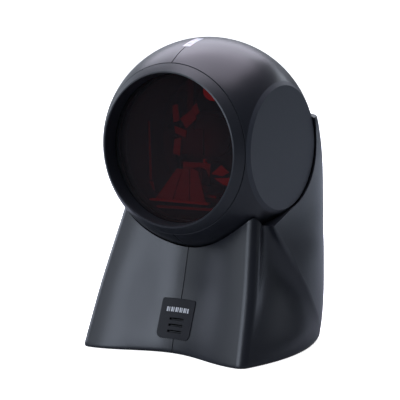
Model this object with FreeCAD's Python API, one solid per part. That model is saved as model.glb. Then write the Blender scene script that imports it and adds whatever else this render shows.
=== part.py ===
import FreeCAD, Part
import math
import os

# Presentation barcode scanner: a tilting ball head in a weighted stand.
# Millimetres. X is the width, minus Y is the front, plus Z is up. The origin is under the centre of the stand.

V = FreeCAD.Vector

# ---- overall sizes ----
BALL_R = 51.5
BALL_Y = -7.6
BALL_Z = 98.5
SHELL_T = 2.2
FACET_X = 42.2
CAP_T = 1.4
FLAT_T = 1.3
CAVITY_R = 52.2
SEAM_W = 0.22
SEAM_DEEP = 0.55
STAND_T = 2.3
SKIRT_Z = 0.4

# ---- window ----
SEAM_R = 40.7
MOUTH_R = 36.2
HOOD_R = 35.4
GLASS_R = 37.4
GLASS_FRONT = 28.0
GLASS_T = 2.4
SPIGOT_R = 39.2
SPIGOT_BACK = 20.4

# ---- tilt guide ----
POST_ANGLE = 27.0
POST_R = 3.0
SLOT_HALF = 19.5
SLOT_GAP = 0.4

# ---- stand outline against height above the table: height, then value ----
RIDGE_X = ((0.0, 42.5), (30.0, 39.6), (62.0, 34.8), (113.0, 26.6))
RIDGE_Y = ((0.0, -39.2), (30.0, -28.4), (62.0, -16.9), (113.0, 1.5))
RIDGE_R = ((0.0, 5.0), (62.0, 4.6), (113.0, 4.6))
PANEL_Y = ((0.0, -34.0), (6.0, -32.6), (15.0, -29.3), (26.0, -25.0), (34.0, -22.5), (41.0, -20.8),
           (48.0, -18.9), (70.0, -12.5), (113.0, 0.0))
WALL_A = ((0.0, 50.8), (6.0, 51.2), (12.0, 51.3), (24.0, 50.2), (39.0, 47.6), (54.0, 44.8), (66.0, 43.3),
          (73.0, 43.4), (80.0, 43.9), (90.0, 44.6), (98.0, 44.9), (104.0, 45.5), (110.5, 46.0), (113.0, 46.2))
WALL_B = ((0.0, 56.4), (6.0, 58.2), (12.0, 59.6), (24.0, 59.9), (54.0, 59.8), (66.0, 59.8), (80.0, 59.7),
          (90.0, 59.0), (98.0, 57.4), (104.0, 55.8), (110.5, 53.6), (113.0, 53.0))
WALL_N = ((0.0, 2.2), (6.0, 2.24), (12.0, 2.28), (24.0, 2.5), (39.0, 2.9), (54.0, 3.38), (66.0, 3.72),
          (73.0, 3.68), (80.0, 3.5), (90.0, 3.3), (98.0, 3.2), (104.0, 3.0), (110.5, 2.7), (113.0, 2.65))
CREASE_Y = ((0.0, 33.0), (12.0, 23.0), (21.5, 15.5), (31.5, 9.5), (41.0, 3.2), (54.0, -6.0), (64.0, -12.3),
            (72.0, -15.0), (80.0, -13.0), (90.0, -7.0), (113.0, 8.0))
FLANK_SAG = ((0.0, -7.4), (6.0, -5.8), (14.0, -2.4), (24.0, 1.6), (36.0, 4.0), (48.0, 4.2), (60.0, 3.0), (70.0, 1.2),
             (113.0, 1.0))
FOOT_ROUND = 0.6
FOOT_HEIGHT = 1.8
STATIONS = (0.8, 1.5, 2.4, 3.6, 7.5, 13.0, 20.0, 29.0, 39.0, 49.0, 59.0, 68.0, 77.0, 86.0, 94.0, 102.0, 112.0)


def value(table, z):
    if z <= table[0][0]:
        return table[0][1]
    for (z0, v0), (z1, v1) in zip(table, table[1:]):
        if z <= z1:
            return v0 + (v1 - v0) * (z - z0) / (z1 - z0)
    return table[-1][1]


def slope(table, i):
    if i == 0 or i == len(table) - 1:
        j = 0 if i == 0 else len(table) - 2
        return (table[j + 1][1] - table[j][1]) / (table[j + 1][0] - table[j][0])
    (z0, v0), (z1, v1), (z2, v2) = table[i - 1:i + 2]
    k = (z1 - z0) / (z2 - z0)
    return (1 - k) * (v1 - v0) / (z1 - z0) + k * (v2 - v1) / (z2 - z1)


def smooth(table, z):
    # a curve through the table with no kinks
    z = max(table[0][0], min(table[-1][0], z))
    i = max(k for k in range(len(table) - 1) if table[k][0] <= z)
    (z0, v0), (z1, v1) = table[i:i + 2]
    h = z1 - z0
    t = (z - z0) / h
    return ((2 * t ** 3 - 3 * t ** 2 + 1) * v0 + (t ** 3 - 2 * t ** 2 + t) * h * slope(table, i)
            + (3 * t ** 2 - 2 * t ** 3) * v1 + (t ** 3 - t ** 2) * h * slope(table, i + 1))


def at_ball(x, y, z):
    return V(x, y + BALL_Y, z + BALL_Z)


# ---------------------------------------------------------------- stand outline

def wall_point(a, b, n, y):
    part = 1.0 - abs(y / b) ** n
    return a * max(part, 0.0) ** (1.0 / n)


def wall_curve(a, b, n, y_from, count):
    # from the crease round to the middle of the back
    t0 = math.acos(max(-1.0, min(1.0, wall_point(a, b, n, y_from) / a)) ** (n / 2.0))
    t0 = math.copysign(t0, y_from)
    out = []
    for i in range(count):
        t = t0 + (math.pi / 2.0 - t0) * i / (count - 1)
        c = abs(math.cos(t)) ** (2.0 / n)
        s = math.copysign(abs(math.sin(t)) ** (2.0 / n), math.sin(t))
        out.append((a * c, b * s))
    out[-1] = (0.0, b)
    return out


def bezier(p0, p1, p2, count):
    out = []
    for i in range(count):
        t = i / (count - 1)
        k0, k1, k2 = (1 - t) ** 2, 2 * t * (1 - t), t * t
        out.append((k0 * p0[0] + k1 * p1[0] + k2 * p2[0], k0 * p0[1] + k1 * p1[1] + k2 * p2[1]))
    return out


def flank_start(cx, cy, r, crease, sag):
    angle = 0.0
    for _ in range(40):
        s = (cx + r * math.cos(angle), cy + r * math.sin(angle))
        dx, dy = crease[0] - s[0], crease[1] - s[1]
        length = math.hypot(dx, dy)
        nx, ny = dy / length, -dx / length
        mid = (s[0] + dx / 2 - 2 * sag * nx, s[1] + dy / 2 - 2 * sag * ny)
        want = math.atan2(mid[1] - s[1], mid[0] - s[0]) - math.pi / 2
        angle += 0.5 * (want - angle)
    return s, mid, angle


def half_section(z, inset):
    # four runs of points on the right-hand side: front panel, ridge, flank, wall
    a = smooth(WALL_A, z) - inset
    b = smooth(WALL_B, z) - inset
    n = smooth(WALL_N, z)
    cx, cy = smooth(RIDGE_X, z), smooth(RIDGE_Y, z)
    r = value(RIDGE_R, z) - inset
    ym = smooth(PANEL_Y, z) + inset
    yk = smooth(CREASE_Y, z)
    crease = (wall_point(a, b, n, yk), yk)
    sag = smooth(FLANK_SAG, z)
    s, mid, angle = flank_start(cx, cy, r, crease, sag)
    front = cy - r
    panel = []
    for i in range(9):
        x = cx * i / 8.0
        panel.append((x, ym + (front - ym) * (1 - math.cos(math.pi * x / cx)) / 2.0))
    ridge = []
    for i in range(7):
        t = -math.pi / 2 + (angle + math.pi / 2) * i / 6.0
        ridge.append((cx + r * math.cos(t), cy + r * math.sin(t)))
    flank = bezier(s, mid, crease, 40)
    wall = wall_curve(a, b, n, yk, 160)
    # round the crease between flank and wall
    soft = 0.9
    kf = max(i for i in range(40) if math.dist(flank[i], crease) >= soft)
    kw = min(i for i in range(160) if math.dist(wall[i], crease) >= soft)
    edge = bezier(flank[kf], crease, wall[kw], 5)
    flank = resample(flank[:kf + 1], 9)
    wall = resample(wall[kw:], 15)
    return panel, ridge, flank, edge, wall


def resample(pts, count):
    total = [0.0]
    for p, q in zip(pts, pts[1:]):
        total.append(total[-1] + math.dist(p, q))
    out = []
    k = 0
    for i in range(count):
        want = total[-1] * i / (count - 1)
        while k < len(pts) - 2 and total[k + 1] < want:
            k += 1
        t = (want - total[k]) / (total[k + 1] - total[k])
        t = max(0.0, min(1.0, t))
        out.append(tuple(pts[k][j] + t * (pts[k + 1][j] - pts[k][j]) for j in (0, 1)))
    return out


def spline(pts, z):
    c = Part.BSplineCurve()
    n = len(pts)
    c.interpolate(Points=[V(x, y + BALL_Y, z) for x, y in pts], Parameters=[i / (n - 1) for i in range(n)])
    return c.toShape()


def section_wire(z, inset):
    runs = half_section(z, inset)
    edges = [spline(run, z) for run in runs]
    for run in reversed(runs):
        edges.append(spline([(-x, y) for x, y in reversed(run)], z))
    return Part.Wire(edges)


def foot_round(z):
    # the lower edge of the skirt curves in
    short = max(0.0, 1.0 - (z - SKIRT_Z) / FOOT_HEIGHT)
    return FOOT_ROUND * short ** 2


def lofted(inset, z_low):
    stations = [z_low] + [z for z in STATIONS if z > z_low + 0.5]
    return Part.makeLoft([section_wire(z, inset + (0 if inset > 1.0 else foot_round(z))) for z in stations],
                         True, False)


# ---------------------------------------------------------------- small helpers

def box(x0, x1, y0, y1, z0, z1):
    return Part.makeBox(x1 - x0, y1 - y0, z1 - z0, V(x0, y0, z0))


def ball_box(x0, x1, y0, y1, z0, z1):
    return box(x0, x1, y0 + BALL_Y, y1 + BALL_Y, z0 + BALL_Z, z1 + BALL_Z)


def sphere(r):
    # poles to the sides, and the closing edge to the front, where the ball is open
    ball = Part.makeSphere(r, V(0, 0, 0), V(1, 0, 0))
    ball.rotate(V(0, 0, 0), V(1, 0, 0), 90)
    ball.translate(at_ball(0, 0, 0))
    return ball


def rod(r, length, base, direction):
    return Part.makeCylinder(r, length, base, direction)


def fuse(shapes):
    out = shapes[0]
    for s in shapes[1:]:
        out = out.fuse(s)
    return out.removeSplitter()


def group(shapes):
    return Part.makeCompound(shapes)


def turned(profile):
    # profile is (radius, distance in front of the ball centre), turned about the head axis
    pts = [at_ball(r, -d, 0) for r, d in profile]
    face = Part.Face(Part.makePolygon(pts + [pts[0]]))
    return face.revolve(at_ball(0, 0, 0), V(0, 1, 0), 360)


def screw(head_r, head_h, r, length, base, direction):
    # countersunk end at base, shank running along direction
    d = V(direction)
    d.normalize()
    return Part.makeCone(head_r, r, head_h, base, d).fuse(rod(r, length, base, d)).removeSplitter()


def radial(angle, r, x=0.0):
    # a point at radius r below the ball centre, swung back by angle
    t = math.radians(angle)
    return at_ball(x, r * math.sin(t), -r * math.cos(t))


def radial_dir(angle):
    t = math.radians(angle)
    return V(0, math.sin(t), -math.cos(t))


# ---------------------------------------------------------------- head

def arc_profile(points_before, start, end, points_after):
    # a turned solid whose outer edge from start to end lies on the ball
    def pt(r, d):
        return at_ball(r, -d, 0)
    a0 = math.atan2(start[1], start[0])
    a1 = math.atan2(end[1], end[0])
    am = (a0 + a1) / 2
    radius = math.hypot(*start)
    mid = (radius * math.cos(am), radius * math.sin(am))
    chain = [pt(*p) for p in points_before]
    edges = [Part.makeLine(p, q) for p, q in zip(chain, chain[1:])]
    edges.append(Part.Arc(pt(*start), pt(*mid), pt(*end)).toShape())
    tail = [pt(*p) for p in points_after]
    edges += [Part.makeLine(p, q) for p, q in zip(tail, tail[1:])]
    face = Part.Face(Part.Wire(edges))
    return face.revolve(at_ball(0, 0, 0), V(0, 1, 0), 360)


SEAM_D = math.sqrt(BALL_R ** 2 - SEAM_R ** 2)
RIM_R = MOUTH_R + 0.9
RIM_D = math.sqrt(BALL_R ** 2 - RIM_R ** 2)


def window_bezel():
    start = (SEAM_R, SEAM_D)
    end = (RIM_R, RIM_D)
    after = [end, (MOUTH_R + 0.25, RIM_D + 0.15), (MOUTH_R, RIM_D - 0.45), (HOOD_R, GLASS_FRONT + 0.8),
             (HOOD_R, GLASS_FRONT + 0.8 - 0.0001), (GLASS_R + 0.2, GLASS_FRONT + 0.8 - 0.0001),
             (GLASS_R + 0.2, SPIGOT_BACK), (SPIGOT_R, SPIGOT_BACK), (SPIGOT_R, SEAM_D), start]
    body = arc_profile([start], start, end, after)
    for x, y, z in BEZEL_SCREWS:
        body = body.cut(rod(0.7, 6.0, at_ball(x, FRAME_FRONT - 3.2, z), V(0, 1, 0)))
    return body.cut(bezel_groove()).removeSplitter()


def bezel_groove():
    # the fine line between the bezel and the shells
    return turned([(SEAM_R - 0.9, SEAM_D - SEAM_W), (SEAM_R + 1, SEAM_D - SEAM_W), (SEAM_R + 1, SEAM_D + SEAM_W),
                   (SEAM_R - 0.3, SEAM_D + SEAM_W), (SEAM_R - 0.9, SEAM_D + 0.05)])


def window_gasket():
    d = GLASS_FRONT
    return turned([(HOOD_R + 0.4, d), (GLASS_R, d), (GLASS_R, d + 0.8), (HOOD_R + 0.4, d + 0.8)])


def scan_window():
    return rod(GLASS_R, GLASS_T, at_ball(0, -GLASS_FRONT, 0), V(0, 1, 0))


def window_retainer():
    d0 = GLASS_FRONT - GLASS_T
    return turned([(35.0, d0), (GLASS_R + 0.1, d0), (GLASS_R + 0.1, d0 - 1.6), (35.0, d0 - 1.6)])


def head_solid():
    ball = sphere(BALL_R).common(ball_box(-FACET_X + CAP_T, FACET_X - CAP_T, -SEAM_D, 60, -60, 60))
    inner = sphere(BALL_R - SHELL_T).common(
        ball_box(-FACET_X + CAP_T + FLAT_T, FACET_X - CAP_T - FLAT_T, -60, 60, -60, 60))
    spigot = rod(SPIGOT_R + 0.1, 20.0, at_ball(0, -40.0, 0), V(0, 1, 0))
    seam = ball_box(-SEAM_W, SEAM_W, -60, 60, -60, 60).cut(sphere(BALL_R - SEAM_DEEP))
    return ball.cut(inner).cut(spigot).cut(bezel_groove()).cut(seam)


def tilt_slot(half_width):
    # an arc slot through the underside, swung about the tilt axis
    ring = rod(BALL_R + 1, 2 * half_width, at_ball(-half_width, 0, 0), V(1, 0, 0)).cut(
        rod(BALL_R - SHELL_T - 1, 2 * half_width, at_ball(-half_width, 0, 0), V(1, 0, 0)))
    pts = [at_ball(0, 0, 0), radial(POST_ANGLE - SLOT_HALF, 70), radial(POST_ANGLE, 80),
           radial(POST_ANGLE + SLOT_HALF, 70)]
    wedge = Part.Face(Part.makePolygon(pts + [pts[0]])).extrude(V(2 * half_width, 0, 0))
    wedge.translate(V(-half_width, 0, 0))
    return ring.common(wedge)


LENS_X = 2.2
LENS_Y0, LENS_Y1 = -19.0, -7.0


def lens_block(gap):
    return ball_box(-LENS_X - gap, LENS_X + gap, LENS_Y0 - gap, LENS_Y1 + gap, 44, 60)


CAP_SCREW_SPOTS = ((0.0, 22.0), (16.0, -14.0), (-12.0, -17.0))
JOIN_SPOTS = ((4.0, 46.4), (40.5, 23.0), (39.6, -24.7), (-14.0, -44.5))


def head_shell(side):
    shell = head_solid().cut(tilt_slot(POST_R + SLOT_GAP)).cut(lens_block(0.15))
    half = shell.common(ball_box(0, 60, -60, 60, -60, 60) if side > 0 else ball_box(-60, 0, -60, 60, -60, 60))
    # bosses on the mid-plane for the joining screws
    for y, z in JOIN_SPOTS:
        boss = rod(3.4, 6.0, at_ball(0 if side > 0 else -6.0, y, z), V(1, 0, 0))
        boss = boss.common(sphere(BALL_R - 1.0))
        half = half.fuse(boss).cut(rod(1.25 if side > 0 else 1.55, 24.0, at_ball(-12.0, y, z), V(1, 0, 0)))
    # pilot holes for the side cap screws
    for y, z in CAP_SCREW_SPOTS:
        half = half.cut(rod(1.3, 10.0, at_ball(side * 36.0, y, z), V(side, 0, 0)))
    return half.removeSplitter()


def side_cap(side):
    cap = sphere(BALL_R).common(ball_box(FACET_X - CAP_T, FACET_X, -60, 60, -60, 60))
    for y, z in CAP_SCREW_SPOTS:
        post = rod(1.25, 5.0, at_ball(FACET_X - CAP_T - 5.0, y, z), V(1, 0, 0))
        cap = cap.fuse(post)
    cap = cap.removeSplitter()
    if side < 0:
        cap = cap.mirror(V(0, 0, 0), V(1, 0, 0)).copy()
    return cap


def head_screws():
    out = []
    for y, z in JOIN_SPOTS:
        out.append(rod(1.2, 10.6, at_ball(-6.0, y, z), V(1, 0, 0)).fuse(
            rod(1.9, 1.5, at_ball(-7.5, y, z), V(1, 0, 0))).removeSplitter())
    return group(out)


def indicator_lens():
    cap = sphere(BALL_R).cut(sphere(BALL_R - SHELL_T)).common(lens_block(0.0))
    pipes = [rod(1.5, 8.0, at_ball(0, y, 41.0), V(0, 0, 1)) for y in (-15.0, -9.5)]
    return fuse([cap] + pipes)


def indicator_leds():
    board = ball_box(-5.0, 5.0, -18.0, -5.5, 37.2, 38.4)
    chips = [ball_box(-1.3, 1.3, y - 1.3, y + 1.3, 38.4, 40.2) for y in (-15.0, -9.5)]
    return fuse([board] + chips)


FRAME_R = 36.6
FRAME_BACK = 13.0
FRAME_FRONT = -20.4


def optics_frame():
    length = FRAME_BACK - FRAME_FRONT
    cup = rod(FRAME_R, length, at_ball(0, FRAME_FRONT, 0), V(0, 1, 0))
    cup = cup.cut(rod(FRAME_R - 1.6, length - 1.8, at_ball(0, FRAME_FRONT, 0), V(0, 1, 0)))
    flange = turned([(FRAME_R - 1.0, -FRAME_FRONT), (SPIGOT_R - 0.1, -FRAME_FRONT),
                     (SPIGOT_R - 0.1, -FRAME_FRONT - 1.8), (FRAME_R - 1.0, -FRAME_FRONT - 1.8)])
    cup = cup.fuse(flange)
    # ledge that carries the mirror wheel motor
    ledge = rod(FRAME_R - 0.5, 26.0, at_ball(0, -13.0, 0), V(0, 1, 0)).common(
        ball_box(-24, 24, -14, 14, -27.0, -24.6))
    perch = ball_box(-5.0, 5.0, -18.0, -5.5, 35.2, 37.2)
    cup = cup.fuse(ledge).fuse(perch)
    cup = cup.cut(rod(3.2, 10, at_ball(0, WHEEL_Y, -30.0), V(0, 0, 1)))
    for x, y, z in BEZEL_SCREWS:
        cup = cup.cut(rod(0.7, 4.0, at_ball(x, FRAME_FRONT - 1.0, z), V(0, 1, 0)))
    return cup.removeSplitter()


def ring_spots(r, count, start):
    return [(r * math.cos(math.radians(start + 360.0 * i / count)),
             r * math.sin(math.radians(start + 360.0 * i / count))) for i in range(count)]


BEZEL_SCREWS = [(x, -25.0, z) for x, z in ring_spots(38.35, 4, 45.0)]


def bezel_screws():
    out = []
    for x, y, z in BEZEL_SCREWS:
        head = rod(1.5, 1.2, at_ball(x, FRAME_FRONT + 1.8, z), V(0, 1, 0))
        shank = rod(0.7, 5.0, at_ball(x, FRAME_FRONT - 3.2, z), V(0, 1, 0))
        out.append(head.fuse(shank).removeSplitter())
    return group(out)


def tilted_plate(width, height, thick, centre, yaw, pitch):
    # a flat plate facing the front, then pitched about X and yawed about Z
    p = Part.makeBox(width, thick, height, V(-width / 2, 0, -height / 2))
    p.rotate(V(0, 0, 0), V(1, 0, 0), pitch)
    p.rotate(V(0, 0, 0), V(0, 0, 1), yaw)
    p.translate(at_ball(*centre))
    return p


MIRRORS = {
    "pattern_mirror_left_low": (15.0, 22.0, 1.6, (-22.5, 3.0, -8.0), -48.0, 6.0),
    "pattern_mirror_left_high": (14.2, 19.4, 1.6, (-19.5, 3.0, 14.5), -36.0, -22.0),
    "pattern_mirror_top": (17.0, 15.0, 1.6, (0.0, 3.5, 22.0), 0.0, -32.0),
    "pattern_mirror_right_high": (14.2, 19.4, 1.6, (19.5, 3.0, 14.5), 36.0, -22.0),
    "pattern_mirror_right_low": (15.0, 22.0, 1.6, (22.5, 3.0, -8.0), 48.0, 6.0),
}


def mirror_mounts():
    # one moulded foot behind each pattern mirror, standing on the back of the frame
    out = []
    for width, height, thick, centre, yaw, pitch in MIRRORS.values():
        x, y, z = centre
        plate = tilted_plate(width - 3.0, height - 4.0, 1.4, centre, yaw, pitch)
        shift = V(0, thick, 0)
        r = FreeCAD.Rotation(V(0, 0, 1), yaw).multiply(FreeCAD.Rotation(V(1, 0, 0), pitch))
        plate.translate(r.multVec(shift))
        stem = ball_box(x - 2.2, x + 2.2, y + 2.4, FRAME_BACK - 1.8, z - 2.4, z + 2.4)
        mirror = tilted_plate(width, height, thick, centre, yaw, pitch)
        out.append(biggest(plate.fuse(stem).cut(mirror).removeSplitter()))
    return group(out)


def collecting_mirror():
    dish = rod(10.5, 5.0, at_ball(0, 2.0, 3.0), V(0, 1, 0))
    hollow = Part.makeSphere(26.0, at_ball(0, 2.0 - 26.0 + 3.2, 3.0))
    stem = rod(3.0, FRAME_BACK - 1.8 - 6.9, at_ball(0, 6.9, 3.0), V(0, 1, 0))
    return dish.cut(hollow).fuse(stem).removeSplitter()


WHEEL_Z0, WHEEL_Z1 = -19.4, -8.6
WHEEL_Y = -3.5


def motor_base():
    plate = ball_box(-13.0, 13.0, WHEEL_Y - 10.5, WHEEL_Y + 10.5, -24.6, -23.4)
    stator = rod(7.6, 2.2, at_ball(0, WHEEL_Y, -23.4), V(0, 0, 1))
    bush = rod(2.6, 8.0, at_ball(0, WHEEL_Y, -29.0), V(0, 0, 1))
    out = fuse([plate, stator, bush])
    return out.cut(rod(1.05, 20.0, at_ball(0, WHEEL_Y, -30.0), V(0, 0, 1)))


def motor_shaft():
    return rod(1.0, WHEEL_Z1 + 28.5 + 1.0, at_ball(0, WHEEL_Y, -28.5), V(0, 0, 1))


def motor_rotor():
    cup = rod(9.2, 1.4, at_ball(0, WHEEL_Y, -20.8), V(0, 0, 1)).fuse(
        rod(9.2, 1.8, at_ball(0, WHEEL_Y, -22.6), V(0, 0, 1)).cut(
            rod(8.1, 1.8, at_ball(0, WHEEL_Y, -22.6), V(0, 0, 1)))).removeSplitter()
    return cup.cut(rod(1.0, 6.0, at_ball(0, WHEEL_Y, -24.0), V(0, 0, 1)))


def mirror_wheel():
    half = 8.4
    block = ball_box(-half, half, WHEEL_Y - half, WHEEL_Y + half, WHEEL_Z0, WHEEL_Z1)
    # each face leans by its own small amount
    for i, lean in enumerate((2.0, -1.0, 4.0, -3.0)):
        cutter = Part.makeBox(40, 20, 40, V(-20, 0, -20))
        cutter.rotate(V(0, 0, 0), V(1, 0, 0), lean)
        cutter.translate(V(0, half - 0.7, 0))
        cutter.rotate(V(0, 0, 0), V(0, 0, 1), 90.0 * i)
        cutter.translate(at_ball(0, WHEEL_Y, (WHEEL_Z0 + WHEEL_Z1) / 2))
        block = block.cut(cutter)
    return block.cut(rod(1.0, 20.0, at_ball(0, WHEEL_Y, WHEEL_Z0 - 1.0), V(0, 0, 1))).removeSplitter()


LASER_X = 8.0


def laser_module():
    barrel = rod(4.0, 13.4, at_ball(LASER_X, -10.0, 26.0), V(-0.25, 1.0, 0))
    collar = rod(4.8, 3.0, at_ball(LASER_X - 0.25 * 3.0, -7.0, 26.0), V(-0.25, 1.0, 0))
    nozzle = rod(1.6, 3.0, at_ball(LASER_X + 0.25 * 2.5, -12.5, 26.0), V(-0.25, 1.0, 0))
    return fuse([barrel, collar, nozzle])


def laser_bracket():
    arm = ball_box(LASER_X - 6.0, LASER_X + 2.5, -6.0, FRAME_BACK - 1.8, 28.6, 31.4)
    return arm.cut(rod(4.85, 40.0, at_ball(LASER_X + 2.5, -20.0, 26.0), V(-0.25, 1.0, 0)))


def detector_board():
    board = ball_box(-7.0, 7.0, -16.0, -14.6, -4.0, 8.0)
    cell = ball_box(-2.4, 2.4, -14.6, -12.6, 0.6, 5.4)
    return fuse([board, cell])


def detector_arm():
    return ball_box(-1.6, 1.6, -16.0, -14.6, 8.0, 34.9)


def main_board():
    disc = rod(35.0, 1.6, at_ball(0, 18.0, 0), V(0, 1, 0))
    for x, z in ring_spots(31.0, 4, 45.0):
        disc = disc.cut(rod(1.3, 4.0, at_ball(x, 16.5, z), V(0, 1, 0)))
    return disc


def board_parts():
    spots = ((-16, 12, 14, 14, 2.2), (8, 6, 18, 12, 1.8), (-18, -10, 8, 12, 3.0), (10, -12, 9, 9, 2.4),
             (20, 18, 6, 4, 1.6), (-4, 27, 12, 4, 1.6))
    return group([ball_box(x, x + w, 19.6, 19.6 + t, z - h, z) for x, z, w, h, t in spots])


def board_pillars():
    out = []
    for x, z in ring_spots(31.0, 4, 45.0):
        out.append(rod(2.6, 18.0 - FRAME_BACK, at_ball(x, FRAME_BACK, z), V(0, 1, 0)).fuse(
            rod(1.2, 2.6, at_ball(x, 18.0, z), V(0, 1, 0))).removeSplitter())
    return group(out)


def head_plug():
    shell = ball_box(-9.0, 9.0, 21.0, 26.0, -31.0, -25.0)
    tail = ball_box(-7.0, 7.0, 19.6, 21.0, -30.0, -26.0)
    return fuse([shell, tail]).cut(ball_box(-7.6, 7.6, 23.0, 27.0, -29.6, -26.4))


# ---------------------------------------------------------------- tilt guide in the stand

def tilt_post():
    d = radial_dir(POST_ANGLE)
    stem = rod(POST_R, 18.4, radial(POST_ANGLE, 44.6), d)
    flange = rod(6.5, 2.0, radial(POST_ANGLE, 61.0), d)
    return fuse([stem, flange])


def shoe_solid(r_in, r_out, half_x, half_angle):
    ring = sphere(r_out).cut(sphere(r_in))
    pts = [at_ball(0, 0, 0), radial(POST_ANGLE - half_angle, 70), radial(POST_ANGLE, 75),
           radial(POST_ANGLE + half_angle, 70)]
    wedge = Part.Face(Part.makePolygon(pts + [pts[0]])).extrude(V(2 * half_x, 0, 0))
    wedge.translate(V(-half_x, 0, 0))
    return ring.common(wedge)


def friction_shoe():
    plate = shoe_solid(BALL_R - SHELL_T - 2.05, BALL_R - SHELL_T - 0.35, 7.0, 7.0)
    return plate.cut(rod(POST_R + 0.05, 20.0, radial(POST_ANGLE, 40), radial_dir(POST_ANGLE)))


def tilt_spring():
    d = radial_dir(POST_ANGLE)
    ring = Part.makeTorus(4.0, 0.5, radial(POST_ANGLE, 46.4), d)
    return ring


def tilt_nut():
    d = radial_dir(POST_ANGLE)
    nut = rod(5.4, 2.0, radial(POST_ANGLE, 43.9), d)
    return nut.cut(rod(POST_R, 10.0, radial(POST_ANGLE, 44.6), d))


# ---------------------------------------------------------------- stand

RIM_TOP = 12.0
FRONT_TOP = -29.8
FRONT_Y = -14.0
RECESS = ((0.0, 0.0), (10.6, -28.2), (-11.2, -36.2), (-14.2, -35.7), (-19.2, -31.0), (-20.0, -24.0))
CAP_CLEAR = 30.35


def opening_tool():
    across = 130.0
    x0 = -across / 2
    top = ball_box(x0, -x0, -70, 70, RIM_TOP, 60)
    front = ball_box(x0, -x0, -70, FRONT_Y, FRONT_TOP, 60)
    caps = rod(CAP_CLEAR, across, at_ball(x0, 0, 0), V(1, 0, 0))
    return fuse([top, front, caps, recess_prism(0.0)])


def recess_prism(grow):
    # the open corner under each side cap, run right across
    cy = sum(y for y, z in RECESS) / len(RECESS)
    cz = sum(z for y, z in RECESS) / len(RECESS)
    pts = []
    for y, z in RECESS:
        far = math.hypot(y - cy, z - cz)
        k = (far + grow) / far
        pts.append(at_ball(-65, cy + (y - cy) * k, cz + (z - cz) * k))
    return Part.Face(Part.makePolygon(pts + [pts[0]])).extrude(V(130, 0, 0))


def channel_void(gap):
    return ball_box(-8.0 - gap, 8.0 + gap, 31.0 - gap, 75, -BALL_Z - 1, SKIRT_Z + 13.0 + gap - BALL_Z)


def grille_prism(gap):
    half_w, z0, z1 = 9.4 + gap, 7.2 - gap, 25.4 + gap
    prism = box(-half_w, half_w, -60, -20, z0, z1)
    long_edges = [e for e in prism.Edges if abs(e.Length - 40.0) < 0.01]
    low = [e for e in long_edges if e.CenterOfMass.z < 15]
    prism = prism.makeFillet(3.0, low)
    high = [e for e in prism.Edges if abs(e.Length - 40.0) < 0.01 and e.CenterOfMass.z > z1 - 0.1]
    return prism.makeFillet(0.8, high)


GRILLE_PROUD = 0.35
GRILLE_SUNK = 1.1
SLOT_Z = (10.6, 13.4, 16.2)
SLOT_HALF_W = 4.0


def moved(shape, dy):
    out = shape.copy()
    out.translate(V(0, dy, 0))
    return out


def speaker_grille(outer):
    prism = grille_prism(0.0)
    plate = prism.common(moved(outer, -GRILLE_PROUD)).cut(moved(outer, GRILLE_SUNK))
    for z in SLOT_Z:
        plate = plate.cut(box(-SLOT_HALF_W, SLOT_HALF_W, -60, -20, z - 0.55, z + 0.55))
    return plate.removeSplitter()


BASE_POSTS = ((-36.0, -37.0), (36.0, -37.0), (-33.0, 24.0), (33.0, 24.0))
STAND_JOINS = ((-22.5, 30.0), (46.3, 34.0), (46.0, 58.0))


def stand_whole(outer, opening):
    inner = lofted(STAND_T, SKIRT_Z - 0.3)
    floor_ball = sphere(CAVITY_R + STAND_T)
    shell = outer.cut(sphere(CAVITY_R)).cut(opening)
    room = inner.cut(floor_ball).cut(ball_box(-70, 70, -70, 70, RIM_TOP - STAND_T, 60))
    front_web = ball_box(-70, 70, -70, FRONT_Y, FRONT_TOP - STAND_T, 60)
    cap_web = rod(CAP_CLEAR + STAND_T, 130, at_ball(-65, 0, 0), V(1, 0, 0))
    room = room.cut(front_web).cut(recess_prism(STAND_T)).cut(cap_web)
    return shell.cut(room), room


def stand_shell(outer, opening):
    shell, room = stand_whole(outer, opening)
    seam = box(-SEAM_W, SEAM_W, -80, 80, 0, 120).cut(lofted(SEAM_DEEP, SKIRT_Z - 0.3))
    shell = shell.cut(seam)
    # cable way out of the back
    shell = shell.cut(channel_void(0.3))
    # pocket and slots for the speaker grille
    pocket = grille_prism(0.12).cut(moved(outer, GRILLE_SUNK))
    shell = shell.cut(pocket)
    for z in SLOT_Z:
        shell = shell.cut(box(-SLOT_HALF_W + 0.2, SLOT_HALF_W - 0.2, -60, -27.6, z - 0.4, z + 0.4))
    # posts for the base plate
    for x, y in BASE_POSTS:
        post = rod(4.2, 60.0, V(x, y, 3.2), V(0, 0, 1)).common(outer).cut(sphere(CAVITY_R)).cut(opening)
        post = post.common(box(-70, 70, -70, 70, 3.2, 22.0)) if y < 0 else post
        rib = box(min(x, x * 1.5), max(x, x * 1.5), y - 0.9, y + 0.9, 3.2, 20.0).common(outer)
        shell = shell.fuse(post).fuse(rib).cut(rod(1.25, 12.0, V(x, y, 3.0), V(0, 0, 1)))
    # boss for the tilt post
    d = radial_dir(POST_ANGLE)
    boss = rod(7.5, 7.0, radial(POST_ANGLE, CAVITY_R + 0.5), d).cut(sphere(CAVITY_R + 0.5))
    shell = shell.fuse(boss).cut(rod(POST_R, 30.0, radial(POST_ANGLE, 40), d))
    # bosses that join the halves
    for y, z in STAND_JOINS:
        lug = rod(3.8, 14.0, V(-7.0, y, z), V(1, 0, 0)).common(outer)
        shell = shell.fuse(lug).cut(rod(1.25, 30.0, V(-15.0, y, z), V(1, 0, 0)))
    return shell.removeSplitter()


def stand_screws():
    return group([rod(1.2, 14.0, V(-7.0, y, z), V(1, 0, 0)).fuse(
        rod(2.4, 1.6, V(7.0, y, z), V(1, 0, 0))).removeSplitter() for y, z in STAND_JOINS])


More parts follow.
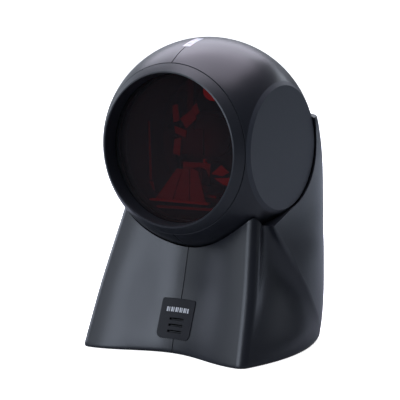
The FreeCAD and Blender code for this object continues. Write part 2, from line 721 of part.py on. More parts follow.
def stand_half(shell, side):
    keep = box(0, 80, -80, 80, -5, 130) if side > 0 else box(-80, 0, -80, 80, -5, 130)
    return biggest(shell.common(keep))


def biggest(shape):
    return max(shape.Solids, key=lambda s: s.Volume)


def base_outline(z, inset):
    return Part.Face(section_wire(z, inset))


def base_plate():
    plate = base_outline(1.2, STAND_T + 0.6).extrude(V(0, 0, 2.0))
    tunnel = ball_box(-9.6, 9.6, 31.0, 54.0, SKIRT_Z + 0.4 - BALL_Z, SKIRT_Z + 14.6 - BALL_Z)
    tunnel = tunnel.common(lofted_base_room())
    plate = plate.fuse(tunnel).cut(channel_void(0.0))
    for x, y in BASE_POSTS:
        plate = plate.cut(rod(1.6, 8.0, V(x, y, 0), V(0, 0, 1))).cut(
            Part.makeCone(3.2, 1.6, 1.6, V(x, y, 1.2), V(0, 0, 1)))
    for x in (-INSERT_X, INSERT_X):
        tower = rod(5.0, 8.0, V(x, INSERT_Y, 1.2), V(0, 0, 1))
        plate = plate.fuse(tower).cut(rod(3.0, 8.0, V(x, INSERT_Y, 0.6), V(0, 0, 1)))
    for x in (-BALLAST_X, BALLAST_X):
        plate = plate.cut(rod(1.5, 8.0, V(x, INSERT_Y, 1.8), V(0, 0, 1)))
    for x, y in FEET:
        plate = plate.cut(rod(6.1, 1.0, V(x, y, 0.8), V(0, 0, 1)))
    return biggest(plate.removeSplitter())


def lofted_base_room():
    return lofted(STAND_T + 0.6, 1.2)


INSERT_X = 25.0
INSERT_Y = -6.0
FEET = ((-24.0, -34.0), (24.0, -34.0), (-20.5, 33.0), (20.5, 33.0))


def mounting_inserts():
    out = []
    for x in (-INSERT_X, INSERT_X):
        out.append(rod(3.0, 7.4, V(x, INSERT_Y, 1.2), V(0, 0, 1)).cut(
            rod(1.65, 7.0, V(x, INSERT_Y, 1.0), V(0, 0, 1))))
    return group(out)


def rubber_feet():
    return group([rod(6.0, 1.8, V(x, y, 0), V(0, 0, 1)) for x, y in FEET])


def base_screws():
    out = []
    for x, y in BASE_POSTS:
        out.append(Part.makeCone(3.1, 1.5, 1.6, V(x, y, 1.2), V(0, 0, 1)).fuse(
            rod(1.2, 9.0, V(x, y, 1.2), V(0, 0, 1))).removeSplitter())
    return group(out)


def ballast_weight():
    slab = box(-36, 36, -23, 7.6, 3.2, 15.2)
    slab = slab.makeFillet(5.0, [e for e in slab.Edges if abs(e.Length - 12.0) < 0.01])
    for x in (-INSERT_X, INSERT_X):
        slab = slab.cut(rod(5.6, 20.0, V(x, INSERT_Y, 0), V(0, 0, 1)))
    for x in (-BALLAST_X, BALLAST_X):
        slab = slab.cut(rod(1.6, 20.0, V(x, INSERT_Y, 0), V(0, 0, 1)))
    return slab


BALLAST_X = 10.0


def ballast_screws():
    return group([rod(1.45, 13.4, V(x, INSERT_Y, 1.8), V(0, 0, 1)).fuse(
        rod(2.8, 1.8, V(x, INSERT_Y, 15.2), V(0, 0, 1))).removeSplitter() for x in (-BALLAST_X, BALLAST_X)])


def interface_board():
    return box(-24, 24, 15.5, 33.0, 17.0, 18.6)


def board_supports():
    return group([box(x - 2, x + 2, 16.5, 21.0, 3.2, 17.0) for x in (-21.0, 21.0)])


def interface_parts():
    chips = [box(-20, -8, 22, 31, 18.6, 20.8), box(10, 20, 24, 31, 18.6, 21.6), box(-4, 6, 16.5, 20.0, 18.6, 24.0)]
    return group(chips)


def cable_socket():
    y0, y1 = 11.0 + BALL_Y + 6.0, 31.0 + BALL_Y
    body = box(-7.6, 7.6, y1 - 15.0, y1, 2.0 + 1.2, 16.2)
    mouth = box(-6.0, 6.0, y1 - 11.0, y1 + 1, 4.4, 11.0)
    key = box(-3.2, 3.2, y1 - 11.0, y1 + 1, 11.0 - 0.01, 13.4)
    return body.cut(mouth).cut(key)


def socket_contacts():
    y1 = 31.0 + BALL_Y
    out = []
    for i in range(10):
        x = -4.5 + i * 1.0
        out.append(box(x - 0.2, x + 0.2, y1 - 11.0, y1 - 3.0, 4.6, 5.0))
    return group(out)


LEAN = math.radians(21.5)
SPEAKER_DIR = V(0, math.cos(LEAN), -math.sin(LEAN))


def speaker_point(depth):
    return V(0, -33.9, 14.4) + SPEAKER_DIR * depth


def speaker():
    cone = rod(7.5, 2.4, speaker_point(1.6), SPEAKER_DIR)
    magnet = rod(4.8, 4.0, speaker_point(4.0), SPEAKER_DIR)
    return fuse([cone, magnet])


def speaker_seal():
    ring = rod(8.0, 1.6, speaker_point(0.0), SPEAKER_DIR)
    return ring.cut(rod(6.2, 1.6, speaker_point(0.0), SPEAKER_DIR))


def cradle_pads():
    out = []
    for x, angle in ((-17.0, -8.0), (17.0, -8.0), (-17.0, 48.0), (17.0, 48.0)):
        base = radial(angle, CAVITY_R + 0.9, 0.0)
        n = V(x / CAVITY_R, 0, 0) + radial_dir(angle) * math.sqrt(1 - (x / CAVITY_R) ** 2)
        start = at_ball(0, 0, 0) + n * (BALL_R - 1.0)
        pad = rod(3.0, 3.4, start, n)
        out.append(pad.cut(sphere(BALL_R + 0.12)))
    return group(out)


# ---------------------------------------------------------------- build

def pieces():
    outer = lofted(0.0, SKIRT_Z)
    opening = opening_tool()
    shell = stand_shell(outer, opening)
    pads = cradle_pads()
    sockets = pads
    shell = shell.cut(sockets)
    out = {
        "window_bezel": window_bezel(),
        "window_gasket": window_gasket(),
        "scan_window": scan_window(),
        "window_retainer": window_retainer(),
        "bezel_screws": bezel_screws(),
        "head_shell_left": head_shell(-1),
        "head_shell_right": head_shell(1),
        "head_screws": head_screws(),
        "side_cap_left": side_cap(-1),
        "side_cap_right": side_cap(1),
        "indicator_lens": indicator_lens(),
        "indicator_leds": indicator_leds(),
        "optics_frame": optics_frame(),
        "mirror_mounts": mirror_mounts(),
        "collecting_mirror": collecting_mirror(),
        "laser_module": laser_module(),
        "laser_bracket": laser_bracket(),
        "detector_board": detector_board(),
        "detector_arm": detector_arm(),
        "motor_base": motor_base(),
        "motor_shaft": motor_shaft(),
        "motor_rotor": motor_rotor(),
        "mirror_wheel": mirror_wheel(),
        "main_board": main_board(),
        "board_parts": board_parts(),
        "board_pillars": board_pillars(),
        "head_plug": head_plug(),
        "tilt_post": tilt_post(),
        "friction_shoe": friction_shoe(),
        "tilt_spring": tilt_spring(),
        "tilt_nut": tilt_nut(),
        "cradle_pads": pads,
        "stand_left": stand_half(shell, -1),
        "stand_right": stand_half(shell, 1),
        "speaker_grille": speaker_grille(outer),
        "speaker": speaker(),
        "speaker_seal": speaker_seal(),
        "base_plate": base_plate(),
        "base_screws": base_screws(),
        "rubber_feet": rubber_feet(),
        "mounting_inserts": mounting_inserts(),
        "ballast_weight": ballast_weight(),
        "ballast_screws": ballast_screws(),
        "stand_screws": stand_screws(),
        "interface_board": interface_board(),
        "board_supports": board_supports(),
        "interface_parts": interface_parts(),
        "cable_socket": cable_socket(),
        "socket_contacts": socket_contacts(),
    }
    for name, (width, height, thick, centre, yaw, pitch) in MIRRORS.items():
        out[name] = tilted_plate(width, height, thick, centre, yaw, pitch)
    return out


def main():
    os.makedirs("parts", exist_ok=True)
    for name, shape in pieces().items():
        shape.exportStep("parts/" + name + ".step")
        print(name, len(shape.Solids), shape.isValid(), [round(v, 1) for v in (
            shape.BoundBox.XMin, shape.BoundBox.XMax, shape.BoundBox.YMin, shape.BoundBox.YMax,
            shape.BoundBox.ZMin, shape.BoundBox.ZMax)])


main()
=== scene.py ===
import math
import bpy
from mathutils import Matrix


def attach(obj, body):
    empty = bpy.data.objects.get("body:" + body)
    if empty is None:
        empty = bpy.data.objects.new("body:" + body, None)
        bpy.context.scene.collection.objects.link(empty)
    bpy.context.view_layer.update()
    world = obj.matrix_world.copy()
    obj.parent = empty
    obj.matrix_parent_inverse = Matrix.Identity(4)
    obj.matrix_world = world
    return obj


bl_info = {
    "name": "Presentation Barcode Scanner",
    "version": (1, 0, 0),
    "blender": (4, 5, 0),
    "location": "3D View > Sidebar > Scanner",
    "description": "Finishes, fine parts, floor, lights and camera for a ball-head barcode scanner",
    "category": "Object",
}

import bpy
import bmesh
from bpy.props import FloatProperty, FloatVectorProperty, IntProperty, PointerProperty
from mathutils import Matrix, Vector

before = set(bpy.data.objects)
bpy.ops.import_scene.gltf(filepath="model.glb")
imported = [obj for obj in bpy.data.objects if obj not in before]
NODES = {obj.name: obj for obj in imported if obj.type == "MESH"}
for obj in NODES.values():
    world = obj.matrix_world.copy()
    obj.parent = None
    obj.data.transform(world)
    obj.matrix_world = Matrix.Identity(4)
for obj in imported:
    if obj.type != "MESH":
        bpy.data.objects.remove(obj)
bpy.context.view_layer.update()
BALL = Vector((0.0, -0.0076, 0.0985))   # centre of the ball head
MILLIMETRE = 0.001
IN_FRONT = 0.2          # a place well in front of the scanner


# ------------------------------------------------------------------ shader writing

class Wave:
    """A value on a node's output. Arithmetic with numbers and other values adds Math nodes."""

    def __init__(self, shader, socket):
        self.shader = shader
        self.socket = socket

    def maths(self, operation, a, b, clamp=False):
        node = self.shader.node("ShaderNodeMath", {"operation": operation, "use_clamp": clamp}, {0: a, 1: b})
        return Wave(self.shader, node.outputs[0])

    def __add__(self, other):
        return self.maths("ADD", self, other)

    def __radd__(self, other):
        return self.maths("ADD", other, self)

    def __sub__(self, other):
        return self.maths("SUBTRACT", self, other)

    def __rsub__(self, other):
        return self.maths("SUBTRACT", other, self)

    def __mul__(self, other):
        return self.maths("MULTIPLY", self, other)

    def __rmul__(self, other):
        return self.maths("MULTIPLY", other, self)

    def below(self, limit):
        return self.maths("LESS_THAN", self, limit)

    def held(self):
        """The value, kept between 0 and 1."""
        return self.maths("ADD", self, 0.0, clamp=True)


class Shader:
    """One material, or the studio's sky, written from the surface backwards."""

    def __init__(self, name, sky=False):
        self.material = bpy.data.worlds.new(name) if sky else bpy.data.materials.new(name)
        self.material.use_nodes = True
        self.tree = self.material.node_tree
        self.tree.nodes.clear()
        self.output = self.tree.nodes.new("ShaderNodeOutputWorld" if sky else "ShaderNodeOutputMaterial")

    def node(self, kind, settings=None, links=None):
        node = self.tree.nodes.new(kind)
        for key, value in (settings or {}).items():
            setattr(node, key, value)
        for key, value in (links or {}).items():
            self.feed(node.inputs[key], value)
        return node

    def feed(self, socket, value):
        if isinstance(value, Wave):
            self.tree.links.new(value.socket, socket)
        elif isinstance(value, bpy.types.NodeSocket):
            self.tree.links.new(value, socket)
        else:
            socket.default_value = value

    def place(self, which="Object"):
        return self.node("ShaderNodeTexCoord").outputs[which]

    def apart(self, which="Object"):
        split = self.node("ShaderNodeSeparateXYZ", None, {0: self.place(which)})
        return [Wave(self, out) for out in split.outputs]

    def noise(self, scale, detail=2.0, rough=0.5, stretch=None):
        where = self.place()
        if stretch:
            where = self.node("ShaderNodeVectorMath", {"operation": "MULTIPLY"}, {0: where, 1: stretch}).outputs[0]
        made = self.node("ShaderNodeTexNoise", None,
                         {"Vector": where, "Scale": scale, "Detail": detail, "Roughness": rough})
        return Wave(self, made.outputs[0])

    def cells(self, scale):
        made = self.node("ShaderNodeTexVoronoi", None, {"Vector": self.place(), "Scale": scale})
        return Wave(self, made.outputs["Distance"])

    def blend(self, amount, first, second):
        made = self.node("ShaderNodeMix", {"data_type": "RGBA"})
        self.feed(made.inputs["Factor"], amount)
        self.feed(made.inputs["A"], first)
        self.feed(made.inputs["B"], second)
        return made.outputs["Result"]

    def bump(self, height, strength, distance):
        links = {"Height": height, "Strength": strength, "Distance": distance}
        return self.node("ShaderNodeBump", None, links).outputs[0]

    def surface(self, **links):
        body = self.node("ShaderNodeBsdfPrincipled", None,
                         {key.replace("_", " "): value for key, value in links.items()})
        self.close(body.outputs[0])
        return self.material

    def close(self, socket):
        self.tree.links.new(socket, self.output.inputs["Surface"])


def rgba(colour, scale=1.0):
    return (colour[0] * scale, colour[1] * scale, colour[2] * scale, 1.0)


# ------------------------------------------------------------------ finishes

def moulded(name, colour, rough, grain=1500.0, depth=0.00002, patches=30.0, ior=1.49):
    """Spark-textured moulded plastic."""
    sh = Shader(name)
    fine = sh.noise(grain, 3.0, 0.6)
    patch = sh.noise(patches, 2.0)
    tone = sh.blend((patch * 0.6 + fine * 0.4).held(), rgba(colour, 0.86), rgba(colour, 1.14))
    gloss = rough + (fine - 0.5) * 0.14 + (patch - 0.5) * 0.05
    return sh.surface(Base_Color=tone, Roughness=gloss, Normal=sh.bump(fine, 0.35, depth), IOR=ior)


def rubber(name, colour):
    sh = Shader(name)
    fine = sh.noise(2200.0, 3.0)
    tone = sh.blend(fine, rgba(colour, 0.8), rgba(colour, 1.3))
    return sh.surface(Base_Color=tone, Roughness=0.8 + (fine - 0.5) * 0.2, Normal=sh.bump(fine, 0.5, 0.00003))


def metal(name, colour, rough, stretch=(1.0, 1.0, 40.0)):
    sh = Shader(name)
    lines = sh.noise(600.0, 3.0, 0.6, stretch)
    tone = sh.blend(lines, rgba(colour, 0.85), rgba(colour, 1.1))
    return sh.surface(Base_Color=tone, Metallic=1.0, Roughness=rough + (lines - 0.5) * 0.2,
                      Normal=sh.bump(lines, 0.15, 0.00002))


def cast(name, colour):
    sh = Shader(name)
    coarse = sh.noise(420.0, 4.0, 0.7)
    tone = sh.blend(coarse, rgba(colour, 0.7), rgba(colour, 1.4))
    return sh.surface(Base_Color=tone, Metallic=0.8, Roughness=0.62 + coarse * 0.2,
                      Normal=sh.bump(coarse, 0.8, 0.0002))


def circuit(name, colour):
    sh = Shader(name)
    tracks = sh.cells(260.0).below(0.24)
    weave = sh.noise(900.0, 2.0)
    tone = sh.blend(tracks * 0.55, rgba(colour, 0.8), rgba(colour, 2.2))
    return sh.surface(Base_Color=tone, Roughness=0.32 + weave * 0.15, Normal=sh.bump(tracks, 0.3, 0.00003))


def mirrored(name, colour):
    sh = Shader(name)
    haze = sh.noise(60.0, 3.0)
    return sh.surface(Base_Color=sh.blend(haze, rgba(colour, 0.93), rgba(colour)), Metallic=1.0,
                      Roughness=0.03 + haze * 0.05)


def tinted_window(name, colour):
    """A dark red plate that is seen through."""
    sh = Shader(name)
    haze = sh.noise(40.0, 2.0)
    clear = sh.node("ShaderNodeBsdfTransparent", None, {"Color": rgba(colour)})
    gloss = sh.node("ShaderNodeBsdfPrincipled", None,
                    {"Base Color": sh.blend(haze, (0.022, 0.025, 0.028, 1), (0.030, 0.033, 0.036, 1)),
                     "Roughness": 0.05 + haze * 0.03, "IOR": 1.4})
    fresnel = Wave(sh, sh.node("ShaderNodeFresnel", None, {"IOR": 1.4}).outputs[0])
    mixed = sh.node("ShaderNodeMixShader", None,
                    {0: (fresnel * 0.8 + 0.24).held(), 1: clear.outputs[0], 2: gloss.outputs[0]})
    sh.close(mixed.outputs[0])
    return sh.material


def milky(name, colour):
    sh = Shader(name)
    haze = sh.noise(500.0, 2.0)
    return sh.surface(Base_Color=sh.blend(haze, rgba(colour, 0.95), rgba(colour)), Roughness=0.3 + haze * 0.1,
                      Subsurface_Weight=0.2, Subsurface_Scale=0.001)


def paint_node(node, material):
    """Gives a carried-over part its finish."""
    data = NODES[node].data
    if not data.materials:
        data.materials.append(None)
    for slot in NODES[node].material_slots:
        slot.link = "OBJECT"
        slot.material = material


def paint(nodes, material):
    for node in nodes:
        paint_node(node, material)


# ------------------------------------------------------------------ what a user may change

class ScannerColours(bpy.types.PropertyGroup):
    case: FloatVectorProperty(name="Case", description="Colour of the outer mouldings", subtype="COLOR",
                              size=3, default=(0.011, 0.012, 0.016), min=0, max=1)
    # painted light: the discs are coloured lighter than the case to brighten the dimly lit sides; their rougher matt
    # finish is real
    disc: FloatVectorProperty(name="Side discs", description="Colour of the two side discs", subtype="COLOR",
                              size=3, default=(0.026, 0.029, 0.037), min=0, max=1)
    bezel: FloatVectorProperty(name="Bezel", description="Colour of the window bezel", subtype="COLOR",
                               size=3, default=(0.013, 0.014, 0.018), min=0, max=1)
    grille: FloatVectorProperty(name="Grille", description="Colour of the speaker grille", subtype="COLOR",
                                size=3, default=(0.006, 0.006, 0.009), min=0, max=1)
    baffle: FloatVectorProperty(name="Baffles", description="Colour of the parts behind the window",
                                subtype="COLOR", size=3, default=(0.36, 0.25, 0.20), min=0, max=1)
    window: FloatVectorProperty(name="Window", description="Tint of the scan window", subtype="COLOR",
                                size=3, default=(0.80, 0.14, 0.10), min=0, max=1)


class ScannerMarks(bpy.types.PropertyGroup):
    length: FloatProperty(name="Row length", description="Length of the row of bars", default=0.0128, min=0.002,
                          unit="LENGTH")
    tall: FloatProperty(name="Bar height", description="Height of each bar", default=0.0021, min=0.0005,
                        unit="LENGTH")
    height_at: FloatProperty(name="Row height", description="Height of the row above the table", default=0.0205,
                             unit="LENGTH")
    proud: FloatProperty(name="Raised by", description="How far a bar stands off the grille", default=0.00008,
                         min=0.00001, unit="LENGTH")
    bars: IntProperty(name="Bars", description="Number of bars in the row", default=11, min=3, max=30)


class ScannerStage(bpy.types.PropertyGroup):
    azimuth: FloatProperty(name="Azimuth", description="Camera angle round the scanner, from its front",
                           default=math.radians(33.14), subtype="ANGLE")
    elevation: FloatProperty(name="Elevation", description="Camera angle above the table",
                             default=math.radians(6.28), subtype="ANGLE")
    distance: FloatProperty(name="Distance", description="Camera distance from the ball centre",
                            default=0.822, min=0.1, unit="LENGTH")
    lens: FloatProperty(name="Lens", description="Focal length of the camera", default=151.8,
                        unit="CAMERA")
    brightness: FloatProperty(name="Brightness", description="Scales every softbox", default=1.0, min=0.0)
    roll: FloatProperty(name="Roll", description="Camera turn about its own axis", default=math.radians(-0.45),
                        subtype="ANGLE")


# ------------------------------------------------------------------ operators

class SCANNER_OT_case(bpy.types.Operator):
    """Finish the mouldings of the head and the stand"""
    bl_idname = "scanner.case"
    bl_label = "Case mouldings"

    def execute(self, context):
        c = context.scene.scanner_colours
        case = moulded("satin case plastic", c.case, 0.32)
        paint(("head_shell_left", "head_shell_right", "stand_left", "stand_right"), case)
        # painted light: the lighter disc colour stands in for light on the sides, while the higher roughness is the
        # disc's own matt finish
        paint(("side_cap_left", "side_cap_right"), moulded("matt disc plastic with painted light", c.disc, 0.46))
        paint(("window_bezel",), moulded("satin bezel plastic", c.bezel, 0.36))
        paint(("speaker_grille",), moulded("grille plastic", c.grille, 0.5, ior=1.30))
        paint(("base_plate",), moulded("base plastic", (0.02, 0.02, 0.022), 0.6))
        return {"FINISHED"}


class SCANNER_OT_optics(bpy.types.Operator):
    """Finish the window and the optics behind it"""
    bl_idname = "scanner.optics"
    bl_label = "Window and optics"

    def execute(self, context):
        c = context.scene.scanner_colours
        paint(("scan_window",), tinted_window("red scan window", c.window))
        silver = mirrored("coated mirror", (0.62, 0.60, 0.60))
        paint(("collecting_mirror",), metal("dull dished mirror", (0.10, 0.09, 0.09), 0.5, (1.0, 1.0, 1.0)))
        paint(("mirror_wheel", "pattern_mirror_left_low", "pattern_mirror_left_high",
               "pattern_mirror_top", "pattern_mirror_right_high", "pattern_mirror_right_low"), silver)
        inner = moulded("frame plastic", (0.045, 0.04, 0.04), 0.5)
        paint(("optics_frame", "mirror_mounts", "laser_bracket", "board_pillars",
               "board_supports"), inner)
        paint(("detector_board", "detector_arm"), moulded("detector black", (0.05, 0.04, 0.04), 0.4))
        paint(("window_retainer",), moulded("retainer plastic", (0.02, 0.02, 0.02), 0.5))
        paint(("indicator_lens",), milky("indicator lens plastic", (0.50, 0.50, 0.52)))
        return {"FINISHED"}


class SCANNER_OT_works(bpy.types.Operator):
    """Finish the inner works, fixings and feet"""
    bl_idname = "scanner.works"
    bl_label = "Inner works"

    def execute(self, context):
        steel = metal("bright screw steel", (0.55, 0.55, 0.57), 0.32)
        paint(("bezel_screws", "head_screws", "motor_base", "motor_shaft", "motor_rotor", "tilt_post", "tilt_spring",
               "tilt_nut", "stand_screws", "base_screws", "ballast_screws"), steel)
        paint(("laser_module", "mounting_inserts", "socket_contacts"), metal("turned brass", (0.62, 0.44, 0.18), 0.3))
        paint(("ballast_weight",), cast("cast iron", (0.10, 0.10, 0.10)))
        paint(("indicator_leds", "main_board", "interface_board"),
              circuit("green circuit board", (0.01, 0.07, 0.025)))
        paint(("board_parts", "interface_parts", "speaker"), moulded("chip plastic", (0.015, 0.015, 0.016), 0.5))
        paint(("cable_socket",), moulded("socket plastic", (0.02, 0.02, 0.02), 0.4))
        paint(("head_plug",), moulded("plug plastic", (0.6, 0.58, 0.5), 0.4))
        paint(("friction_shoe", "cradle_pads"), moulded("bearing plastic", (0.5, 0.5, 0.48), 0.35))
        paint(("window_gasket", "speaker_seal", "rubber_feet"), rubber("soft black rubber", (0.012, 0.012, 0.012)))
        return {"FINISHED"}


def mesh_object(name, made):
    """Turns finished mesh work into an object in the scene."""
    mesh = bpy.data.meshes.new(name)
    made.to_mesh(mesh)
    made.free()
    thing = bpy.data.objects.new(name, mesh)
    bpy.context.collection.objects.link(thing)
    return thing


def raised_marks(name, node, bars, low, high, proud, rows=6):
    """Thin raised bars laid on the front of a part, each from one x to another."""
    part = NODES[node]
    made = bmesh.new()
    for left, right in bars:
        ring = []
        for row in range(rows + 1):
            z = low + (high - low) * row / rows
            pair = []
            for x in (left, right):
                hit, point, normal, _ = part.ray_cast(Vector((x, -IN_FRONT, z)), Vector((0.0, 1.0, 0.0)))
                if not hit:
                    raise RuntimeError("no surface under a mark at %.4f, %.4f" % (x, z))
                pair.append((point + normal * proud, point - normal * proud))
            ring.append(pair)
        verts = [[[made.verts.new(p) for p in side] for side in pair] for pair in ring]
        for row in range(rows):
            (a, b), (c, d) = verts[row], verts[row + 1]
            for quad in ((a[0], b[0], d[0], c[0]), (b[1], a[1], c[1], d[1]),
                         (a[1], a[0], c[0], c[1]), (b[0], b[1], d[1], d[0])):
                made.faces.new(quad)
        for a, b in (verts[0], reversed(verts[-1])):
            made.faces.new((a[1], b[1], b[0], a[0]))
    bmesh.ops.recalc_face_normals(made, faces=made.faces)
    return mesh_object(name, made)


BAR_WIDTHS = (0.70, 0.42, 0.58, 0.36)      # parts of a bar's own space


class SCANNER_OT_marks(bpy.types.Operator):
    """Lay the pale row of bars on the speaker grille"""
    bl_idname = "scanner.marks"
    bl_label = "Grille marks"

    def execute(self, context):
        m = context.scene.scanner_marks
        step = m.length / m.bars
        bars = []
        for i in range(m.bars):
            x = -m.length / 2 + i * step
            bars.append((x, x + step * BAR_WIDTHS[i * i % len(BAR_WIDTHS)]))
        piece = raised_marks("grille_marks", "speaker_grille", bars, m.height_at - m.tall / 2,
                             m.height_at + m.tall / 2, m.proud)
        sh = Shader("pale marks")
        wear = sh.noise(900.0, 3.0)
        piece.data.materials.append(sh.surface(
            Base_Color=sh.blend(wear, (0.42, 0.42, 0.44, 1), (0.62, 0.62, 0.64, 1)), Roughness=0.5 + wear * 0.2))
        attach(piece, "stand")
        return {"FINISHED"}


def plates(name, faces, thick, soften):
    """Thin moulded walls: each face is a ring of points round the ball centre, in millimetres."""
    made = bmesh.new()
    for ring in faces:
        made.faces.new([made.verts.new(BALL + Vector(p) * MILLIMETRE) for p in ring])
    bmesh.ops.remove_doubles(made, verts=made.verts, dist=0.00005)
    bmesh.ops.recalc_face_normals(made, faces=made.faces)
    piece = mesh_object(name, made)
    solid = piece.modifiers.new("wall", "SOLIDIFY")
    solid.thickness = thick
    solid.offset = 0.0
    edge = piece.modifiers.new("soft edge", "BEVEL")
    edge.width = soften
    edge.segments = 2
    return piece


BAFFLES = (
    # name, finish, wall thickness, edge radius, faces
    ("fan_baffle", "brown", 0.0008, 0.0003, (      # slopes down in front of the wheel, in three leaves
        ((-20.0, -17.5, -27.0), (-9.5, -18.0, -27.0), (-5.0, -15.5, -11.5), (-9.0, -14.5, -11.5)),
        ((-9.0, -18.2, -27.0), (0.5, -18.2, -27.0), (-1.0, -15.6, -10.5), (-4.5, -15.7, -11.0)),
        ((1.0, -18.2, -27.0), (9.5, -17.0, -27.0), (3.5, -15.0, -12.0), (-0.5, -15.6, -10.6)))),
    ("lower_ledge", "bright", 0.0010, 0.0003, (    # the two ledges cross the foot of the window
        # painted highlight: this ledge takes the "bright" finish, the baffle tint doubled to stand in for light
        # caught on it
        ((-22.0, -19.8, -26.9), (12.0, -19.8, -26.9), (12.0, -17.0, -26.9), (-22.0, -17.0, -26.9)),)),
    ("foot_ledge", "brown", 0.0012, 0.0003, (
        ((-18.0, -19.6, -30.2), (20.0, -19.6, -29.4), (20.0, -17.2, -29.4), (-18.0, -17.2, -30.2)),)),
    ("mirror_clip_left", "brown", 0.0007, 0.0002, (     # upright, with its foot
        ((-29.4, -9.0, 10.0), (-28.4, -9.6, 10.0), (-27.4, -9.6, -19.0), (-28.8, -9.0, -19.0)),
        ((-31.0, -8.6, -19.5), (-26.0, -10.6, -19.5), (-25.0, -10.6, -24.0), (-30.0, -8.0, -23.5)))),
    ("detector_clips", "brown", 0.0006, 0.0002, (       # crossed, round the detector
        ((-9.5, -17.0, 19.0), (-6.5, -17.0, 20.0), (-5.5, -17.0, 12.0), (-9.0, -17.0, 11.0)),
        ((-5.0, -17.2, 13.0), (2.0, -17.2, 18.0), (4.5, -17.2, 13.5), (-1.5, -17.2, 8.5)),
        ((1.5, -17.0, 18.6), (4.4, -17.0, 21.0), (6.0, -17.0, 16.5), (3.6, -17.0, 14.6)),
        ((-8.5, -17.0, 9.5), (-1.5, -17.0, 7.5), (-2.0, -17.0, 4.0), (-8.0, -17.0, 6.0)),
        ((-8.5, -17.0, 3.0), (-4.5, -17.0, 4.0), (-5.5, -17.0, -5.0), (-9.5, -17.0, -4.0)))),
    # painted highlight: this bracket takes the "bright" finish, the baffle tint doubled to stand in for light caught
    # on it
    ("mirror_bracket_right", "bright", 0.0007, 0.0002, (
        ((10.5, -14.0, -13.0), (15.5, -13.0, -8.5), (19.5, -12.0, -12.0), (16.0, -12.5, -14.0)),
        ((12.0, -13.8, -15.0), (20.5, -12.0, -14.5), (21.0, -12.0, -19.0), (16.5, -13.0, -18.0)))),
)


class SCANNER_OT_baffles(bpy.types.Operator):
    """Build the light baffles and clips that stand behind the window"""
    bl_idname = "scanner.baffles"
    bl_label = "Light baffles"

    def execute(self, context):
        tint = context.scene.scanner_colours.baffle
        finishes = {"brown": moulded("baffle plastic", tint, 0.5),
                    # the "bright" finish is a lit copy of the baffle plastic, its colour doubled as a painted
                    # highlight
                    "bright": moulded("baffle plastic with painted highlight", tuple(min(1.0, 2.0 * v) for v in tint), 0.3)}
        for name, finish, thick, soften, faces in BAFFLES:
            piece = plates(name, faces, thick, soften)
            piece.data.materials.append(finishes[finish])
            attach(piece, "head")
        return {"FINISHED"}


def direction(azimuth, elevation):
    """The way out from the scanner, with azimuth 0 at its front."""
    return Vector((math.sin(azimuth) * math.cos(elevation), -math.cos(azimuth) * math.cos(elevation),
                   math.sin(elevation)))


def softbox(name, place, target, width, height, power, colour):
    light = bpy.data.lights.new(name, "AREA")
    light.shape = "RECTANGLE"
    light.size, light.size_y = width, height
    light.energy = power
    light.color = colour
    holder = bpy.data.objects.new(name, light)
    bpy.context.collection.objects.link(holder)
    holder.location = place
    holder.rotation_euler = (Vector(target) - Vector(place)).to_track_quat("-Z", "Y").to_euler()


def pale_floor():
    """White table top, which throws only a part of its light back at the scanner."""
    sh = Shader("pale floor")
    cloud = sh.noise(3.0)
    seen = Wave(sh, sh.node("ShaderNodeLightPath").outputs["Is Camera Ray"])
    dim = sh.node("ShaderNodeBsdfDiffuse", None, {"Color": (0.28, 0.30, 0.32, 1.0)})
    lit = sh.node("ShaderNodeBsdfPrincipled", None,
                  {"Base Color": sh.blend(cloud, (0.93, 0.93, 0.93, 1), (0.95, 0.95, 0.95, 1)), "Roughness": 0.9,
                   "Emission Color": (1.0, 1.0, 1.0, 1.0), "Emission Strength": 0.88})
    sh.close(sh.node("ShaderNodeMixShader", None, {0: seen, 1: dim.outputs[0], 2: lit.outputs[0]}).outputs[0])
    return sh.material


def lobe(x, y, z, toward, edge, soft):
    """One round soft patch of sky, 1 in its middle and 0 outside."""
    length = math.sqrt(sum(v * v for v in toward))
    facing = x * (toward[0] / length) + y * (toward[1] / length) + z * (toward[2] / length)
    return ((facing - (edge - soft)) * (1.0 / (2 * soft))).held()


def studio_sky():
    """A dark room to the right, with soft light from the front, the left and above."""
    sh = Shader("studio", sky=True)
    x, y, z = sh.apart("Generated")
    # a soft patch above the front and left, and a faint one behind on the left
    high = lobe(x, y, z, (-0.40, -0.60, 0.69), 0.80, 0.15)
    left = lobe(x, y, z, (-0.74, 0.64, 0.20), 0.84, 0.12)
    power = 0.075 + high * 1.5 + left * 0.5
    seen = Wave(sh, sh.node("ShaderNodeLightPath").outputs["Is Camera Ray"])
    sky = sh.node("ShaderNodeBackground", None, {"Color": (0.82, 0.90, 1.0, 1.0), "Strength": power})
    paper = sh.node("ShaderNodeBackground", None, {"Color": (1.0, 1.0, 1.0, 1.0), "Strength": 1.0})
    sh.close(sh.node("ShaderNodeMixShader", None, {0: seen, 1: sky.outputs[0], 2: paper.outputs[0]}).outputs[0])
    return sh.material


SOFTBOXES = (
    # name, azimuth from the front, elevation, distance, width, height, power, colour
    ("front_box", 355.0, 15.0, 1.2, 0.54, 0.58, 4.1, (0.76, 0.84, 1.0)),
    ("left_box", 272.0, 14.0, 1.2, 0.54, 0.56, 3.6, (0.78, 0.84, 1.0)),
    ("rear_box", 215.0, 44.0, 1.2, 1.20, 0.70, 8.4, (0.88, 0.86, 1.0)),
    ("top_box", 200.0, 80.0, 1.0, 0.95, 0.95, 9.6, (0.90, 0.84, 1.0)),
)


def lay_floor():
    made = bmesh.new()
    bmesh.ops.create_grid(made, x_segments=8, y_segments=8, size=6.0)
    floor = mesh_object("studio_floor", made)
    floor.data.materials.append(pale_floor())


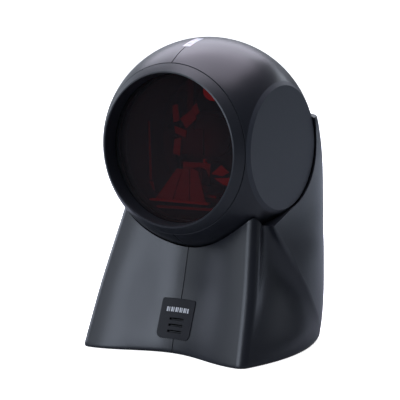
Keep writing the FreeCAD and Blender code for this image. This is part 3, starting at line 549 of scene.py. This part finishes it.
def hang_lights(brightness):
    # one light washes the floor behind the scanner, the others face the ball
    softbox("floor_wash", (0.42, 0.62, 0.42), (0.45, 0.72, 0.0), 0.8, 0.6, 6.0 * brightness, (0.82, 0.89, 1.0))
    for name, azimuth, elevation, distance, width, height, power, colour in SOFTBOXES:
        way = direction(math.radians(azimuth), math.radians(elevation))
        softbox(name, BALL + way * distance, BALL, width, height, power * brightness, colour)


SENSOR_WIDTH = 36.0           # millimetres
AIM_LEFT = 0.0044836          # the camera aims this far to the left of the ball's centre,
AIM_BELOW = 0.0278278         # and this far below it


def set_camera(scene, stage):
    out = direction(stage.azimuth, stage.elevation)
    right = Vector((math.cos(stage.azimuth), math.sin(stage.azimuth), 0.0))
    data = bpy.data.cameras.new("viewer")
    data.lens = stage.lens
    data.sensor_width = SENSOR_WIDTH
    data.clip_end = 50.0
    data.dof.use_dof = False
    camera = bpy.data.objects.new("viewer", data)
    scene.collection.objects.link(camera)
    place = BALL + out * stage.distance
    target = BALL - right * AIM_LEFT - out.cross(right) * AIM_BELOW
    turn = (target - place).to_track_quat("-Z", "Y").to_matrix().to_4x4()
    camera.matrix_world = Matrix.Translation(place) @ turn @ Matrix.Rotation(stage.roll, 4, "Z")
    scene.camera = camera


class SCANNER_OT_stage(bpy.types.Operator):
    """Lay the floor, hang the lights and set the camera"""
    bl_idname = "scanner.stage"
    bl_label = "Floor, lights and camera"

    def execute(self, context):
        scene = context.scene
        stage = scene.scanner_stage
        lay_floor()
        scene.world = studio_sky()
        hang_lights(stage.brightness)
        set_camera(scene, stage)
        scene.view_settings.view_transform = "Standard"
        return {"FINISHED"}


class SCANNER_PT_panel(bpy.types.Panel):
    """Colours, camera and pieces of the scanner"""
    bl_idname = "SCANNER_PT_panel"
    bl_label = "Barcode scanner"
    bl_space_type = "VIEW_3D"
    bl_region_type = "UI"
    bl_category = "Scanner"

    def draw(self, context):
        scene = context.scene
        for group in (scene.scanner_colours, scene.scanner_marks, scene.scanner_stage):
            for key in group.__annotations__:
                self.layout.prop(group, key)
        for piece in PIECES:
            self.layout.operator(piece.bl_idname)


PIECES = (SCANNER_OT_case, SCANNER_OT_optics, SCANNER_OT_works, SCANNER_OT_marks,
          SCANNER_OT_baffles, SCANNER_OT_stage)
GROUPS = (ScannerColours, ScannerMarks, ScannerStage)


def register():
    for item in GROUPS + PIECES + (SCANNER_PT_panel,):
        bpy.utils.register_class(item)
    bpy.types.Scene.scanner_colours = PointerProperty(type=ScannerColours)
    bpy.types.Scene.scanner_marks = PointerProperty(type=ScannerMarks)
    bpy.types.Scene.scanner_stage = PointerProperty(type=ScannerStage)


def unregister():
    del bpy.types.Scene.scanner_stage
    del bpy.types.Scene.scanner_marks
    del bpy.types.Scene.scanner_colours
    for item in reversed(GROUPS + PIECES + (SCANNER_PT_panel,)):
        bpy.utils.unregister_class(item)


def main():
    register()
    bpy.ops.scanner.case()
    bpy.ops.scanner.optics()
    bpy.ops.scanner.works()
    bpy.ops.scanner.marks()
    bpy.ops.scanner.baffles()
    bpy.ops.scanner.stage()


if __name__ == "__main__":
    main()
